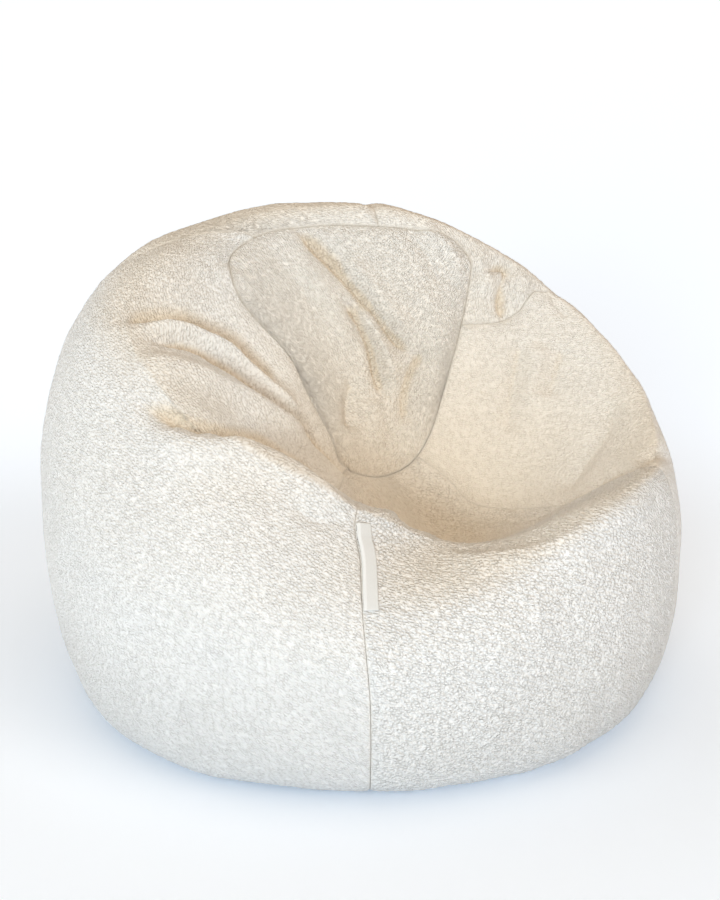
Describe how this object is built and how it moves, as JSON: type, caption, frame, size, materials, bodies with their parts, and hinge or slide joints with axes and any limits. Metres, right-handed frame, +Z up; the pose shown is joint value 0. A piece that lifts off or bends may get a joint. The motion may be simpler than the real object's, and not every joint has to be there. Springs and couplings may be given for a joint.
{
  "type": "bean bag pouf",
  "caption": "Round bean bag pouf with a seat hollow, a raised back, sewn side panels, a rounded top cap, soft folds and a bare side label.",
  "frame": {"origin": "middle of the base, on the surface that the bag stands on", "axes": "+Z up, -Y to the front where the seat opens, +X to the right of someone who looks at the front"},
  "size_m": [0.9514, 0.9396, 0.6808],
  "materials": {
    "wool": "ivory boucle wool, small curled loops",
    "tape": "plain woven tape"
  },
  "bodies": {
    "root": {"left_panel": "wool", "front_right_panel": "wool", "right_panel": "wool", "back_right_panel": "wool", "back_left_panel": "wool", "top_cap": "wool", "base_panel": "wool", "side_label": "tape"}
  },
  "joints": []
}
